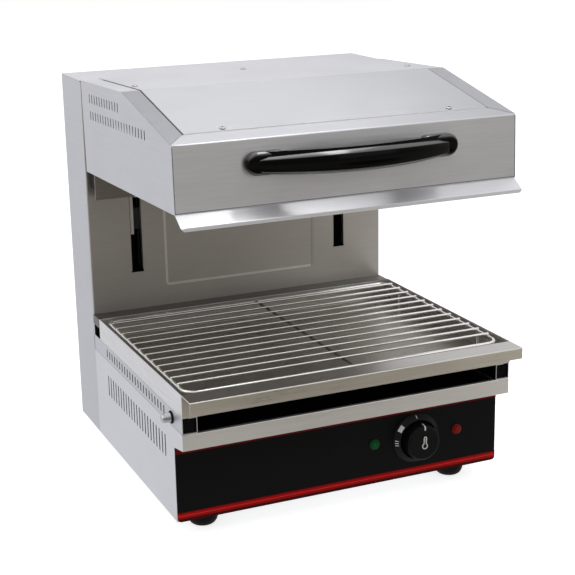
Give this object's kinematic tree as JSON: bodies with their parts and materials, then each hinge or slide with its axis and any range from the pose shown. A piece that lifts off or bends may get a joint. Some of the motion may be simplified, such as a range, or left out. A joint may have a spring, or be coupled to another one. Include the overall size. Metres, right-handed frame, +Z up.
{
  "type": "rise-and-fall cheese melter",
  "caption": "Bench-top electric cheese melter: a heated hood with a bowed handle slides on a rear column above a drip tray with a wire grid and a control panel.",
  "frame": {"origin": "middle of the whole object's footprint, front to back and side to side, on the bench under the feet", "axes": "+X to the user's right when facing the controls, the front faces -Y, +Z up"},
  "size_m": [0.476, 0.5154, 0.5354],
  "materials": {
    "casing_steel": "brushed stainless sheet",
    "column_steel": "brushed stainless sheet",
    "base_steel": "brushed stainless sheet",
    "rail_steel": "brushed stainless sheet, dull inside",
    "arm_steel": "passivated steel plate",
    "rod_steel": "oiled steel rod",
    "plug_black": "foamed plug",
    "hood_steel": "brushed stainless sheet",
    "lip_steel": "bright stainless sheet",
    "plate_steel": "brushed stainless sheet",
    "tray_steel": "brushed stainless sheet",
    "reflector_steel": "bright steel sheet, aluminised",
    "galvanised": "zinc-coated sheet",
    "zinc": "zinc-plated",
    "bright_chrome": "bright plated",
    "grid_wire": "chrome-plated wire",
    "cable_steel": "stranded steel cable",
    "element_sheath": "heat-tinted steel tube",
    "weight_iron": "painted steel slab",
    "black_enamel": "black enamel",
    "panel_black": "satin black panel",
    "panel_red": "printed red band",
    "black_plastic": "moulded black plastic",
    "knob_black": "moulded black plastic",
    "handle_black": "glossy moulded plastic",
    "lamp_green": "coloured lens",
    "lamp_red": "coloured lens",
    "ceramic": "unglazed steatite",
    "ceramic_wool": "needled mineral fibre",
    "lead_sleeve": "glass-fibre sleeved wire",
    "seal_black": "black seal",
    "foot_rubber": "moulded rubber",
    "nylon": "filled nylon"
  },
  "bodies": {
    "stand": {"column_shell": "column_steel", "column_top": "casing_steel", "rear_cover": "galvanised", "rear_cover_screws": "zinc", "cable_gland": "black_plastic", "rear_ledge": "casing_steel", "base_shell": "base_steel", "base_bottom": "galvanised", "heat_shield": "black_enamel", "rear_shield": "black_enamel", "control_panel": "panel_black", "panel_stripes": "panel_red", "thermostat": "galvanised", "dial_bezel": "black_plastic", "lamp_green": "lamp_green", "lamp_red": "lamp_red", "lamp_holders": "black_plastic", "terminal_block": "ceramic", "control_wiring": "lead_sleeve", "hood_lead_lower": "lead_sleeve", "feet": "foot_rubber", "foot_screws": "zinc", "rail_left": "rail_steel", "rail_right": "rail_steel", "rail_plugs": "plug_black", "rail_thumb_nuts": "bright_chrome", "rail_washers": "foot_rubber", "guide_rods": "rod_steel", "rod_brackets": "galvanised", "shaft_bearings": "galvanised", "lift_cable_front": "cable_steel", "lift_cable_rear": "cable_steel"},
    "hood": {"hood_shell": "hood_steel", "hood_cover": "hood_steel", "cover_screws": "bright_chrome", "deflector_lip": "lip_steel", "hood_handle": "handle_black", "handle_screws": "zinc", "reflector": "reflector_steel", "heating_elements": "element_sheath", "element_brackets": "galvanised", "element_bushes": "ceramic", "insulation_blanket": "ceramic_wool", "hood_terminal_block": "ceramic", "element_links": "zinc", "hood_lead_upper": "lead_sleeve", "carriage_plate": "plate_steel", "carriage_seals": "seal_black", "carriage_arms": "arm_steel", "slide_blocks": "nylon", "lift_bar": "galvanised"},
    "counterweight": {"counterweight": "weight_iron"},
    "pulley_set": {"pulley_shaft": "zinc", "pulleys": "nylon"},
    "knob": {"knob": "knob_black", "thermostat_shaft": "zinc"},
    "tray": {"drip_tray": "tray_steel"},
    "grid": {"wire_grid": "grid_wire"}
  },
  "joints": [
    {"name": "hood_lift", "type": "slide", "parent": "stand", "child": "hood", "axis": [0, 0, 1], "range_m": [-0.11, 0], "deforming": ["lift_cable_front", "hood_lead_lower"]},
    {"name": "counterweight_slide", "type": "slide", "parent": "stand", "child": "counterweight", "axis": [0, 0, 1], "range_m": [0, 0.11], "deforming": ["lift_cable_rear"]},
    {"name": "pulley_spin", "type": "hinge", "parent": "stand", "child": "pulley_set", "pos_m": [0, 0.19265, 0.4925], "axis": [1, 0, 0], "range_deg": [0, 275]},
    {"name": "thermostat_turn", "type": "hinge", "parent": "stand", "child": "knob", "pos_m": [0.105, -0.18635, 0.0775], "axis": [0, 1, 0], "range_deg": [0, 290]},
    {"name": "tray_slide", "type": "slide", "parent": "stand", "child": "tray", "axis": [0, -1, 0], "range_m": [0, 0.28]},
    {"name": "grid_lift", "type": "slide", "parent": "tray", "child": "grid", "axis": [0, 0, 1], "range_m": [0, 0.06]}
  ],
  "couplings": [
    {"joint": "counterweight_slide", "follows": "hood_lift", "ratio": -1},
    {"joint": "pulley_spin", "follows": "hood_lift", "rad_per_m": -43.478}
  ]
}
